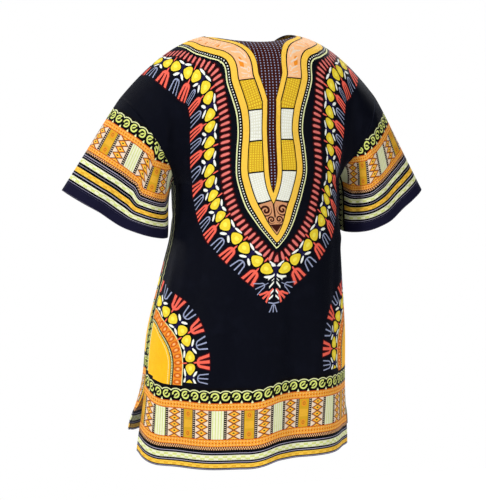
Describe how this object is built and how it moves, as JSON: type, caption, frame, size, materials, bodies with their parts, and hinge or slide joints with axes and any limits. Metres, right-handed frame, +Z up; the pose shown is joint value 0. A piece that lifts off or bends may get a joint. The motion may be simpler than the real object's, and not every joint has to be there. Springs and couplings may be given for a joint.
{
  "type": "dashiki shirt",
  "caption": "Pull-on dashiki shirt with a V neck, dropped wide short sleeves, side vents and a bordered figured print, hollow as worn.",
  "frame": {"origin": "middle of the neck opening, level with the top of the shoulder seams, where the wearer's shoulders hold the shirt", "axes": "+Z up, front facing -Y, the wearer's left side towards +X"},
  "size_m": [0.718, 0.3192, 0.7978],
  "materials": {
    "printed_cloth": "satin-sheen cotton with a screen-printed design on navy",
    "border_cloth": "satin-sheen cotton with a printed striped border"
  },
  "bodies": {
    "root": {"back_panel": "printed_cloth", "front_panel": "printed_cloth", "left_sleeve": "border_cloth", "right_sleeve": "border_cloth"}
  },
  "joints": []
}
